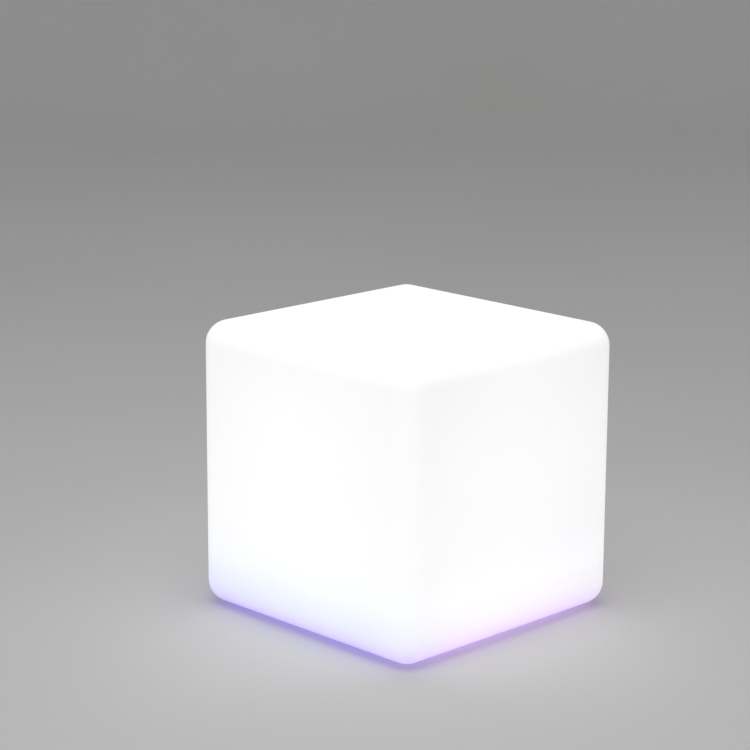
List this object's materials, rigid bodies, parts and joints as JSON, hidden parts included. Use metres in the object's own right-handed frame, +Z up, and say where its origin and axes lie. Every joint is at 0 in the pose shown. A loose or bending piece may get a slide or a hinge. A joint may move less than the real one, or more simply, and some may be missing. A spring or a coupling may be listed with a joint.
{
  "type": "led cube light",
  "caption": "Hollow translucent cube light with rounded edges on rubber feet; a sealed rechargeable lamp unit is bolted up into a round recess in its underside.",
  "frame": {"origin": "on the floor plane, under the middle of the cube", "axes": "+Z up through the middle of the top; X and Y square to the cube's sides. The charging socket lies toward -X and the switch toward +X. The picture sees the -Y side on the left and the +X side on the right."},
  "size_m": [0.4, 0.4, 0.398],
  "materials": {
    "shell_plastic": "rotomoulded milky polyethylene, fine matt skin",
    "foot_rubber": "moulded rubber, matt",
    "insert_brass": "turned and knurled brass",
    "plate_plastic": "moulded ABS, fine grain",
    "seal_rubber": "soft silicone rubber",
    "screw_steel": "stainless steel, rolled thread",
    "housing_plastic": "moulded white ABS, satin",
    "spreader_aluminium": "stamped aluminium sheet",
    "lamp_board": "white solder resist, gloss",
    "chip_phosphor": "phosphor under clear resin",
    "receiver_resin": "dark infrared resin, gloss",
    "dome_plastic": "opal polycarbonate, satin",
    "cell_can": "shrink-wrapped battery cells",
    "strip_nickel": "plain nickel strip",
    "green_board": "green solder resist",
    "strap_fabric": "woven nylon strap",
    "component_black": "moulded component cases",
    "switch_plastic": "moulded gloss black plastic",
    "button_plastic": "moulded red plastic",
    "contact_plastic": "moulded thermoset plastic",
    "spring_steel": "drawn spring wire",
    "socket_metal": "nickel-plated, turned",
    "contact_brass": "plated brass contact",
    "washer_nylon": "natural nylon",
    "clear_lens": "clear moulded light pipe",
    "vent_plastic": "moulded vent with a membrane",
    "lead_insulation": "soft wire insulation"
  },
  "bodies": {
    "cube": {"cube_shell": "shell_plastic", "rubber_feet": "foot_rubber", "screw_inserts": "insert_brass", "base_plate": "plate_plastic", "plate_gasket": "seal_rubber", "housing_seal": "seal_rubber", "dome_seal": "seal_rubber", "button_seal": "seal_rubber", "socket_seal": "seal_rubber", "plate_screws": "screw_steel", "housing_screws": "screw_steel", "light_board_screws": "screw_steel", "dome_screws": "screw_steel", "tray_screws": "screw_steel", "controller_screws": "screw_steel", "cover_screw": "screw_steel", "lamp_housing": "housing_plastic", "battery_tray": "housing_plastic", "heat_spreader": "spreader_aluminium", "light_board": "lamp_board", "light_chips": "chip_phosphor", "remote_receiver": "receiver_resin", "diffuser_dome": "dome_plastic", "battery_cells": "cell_can", "nickel_strips": "strip_nickel", "battery_board": "green_board", "controller_board": "green_board", "battery_strap": "strap_fabric", "controller_parts": "component_black", "button_housing": "switch_plastic", "button_nut": "switch_plastic", "button_contacts": "contact_plastic", "socket_insulator": "contact_plastic", "button_spring": "spring_steel", "charge_socket": "socket_metal", "socket_nut": "socket_metal", "socket_pin": "contact_brass", "socket_tabs": "contact_brass", "cover_washer": "washer_nylon", "charge_lamp_lens": "clear_lens", "pressure_vent": "vent_plastic", "switch_lead": "lead_insulation", "socket_lead": "lead_insulation", "light_lead": "lead_insulation", "battery_lead": "lead_insulation"},
    "button": {"power_button": "button_plastic"},
    "cover": {"port_cover": "plate_plastic"}
  },
  "joints": [
    {"name": "power_button_press", "type": "slide", "parent": "cube", "child": "button", "axis": [0, 0, 1], "range_m": [0, 0.002], "stiffness_N_per_m": 400, "deforming": ["button_spring"]},
    {"name": "port_cover_swing", "type": "hinge", "parent": "cube", "child": "cover", "pos_m": [-0.028, 0.013, 0.0125], "axis": [0, 0, -1], "range_deg": [0, 110]}
  ]
}
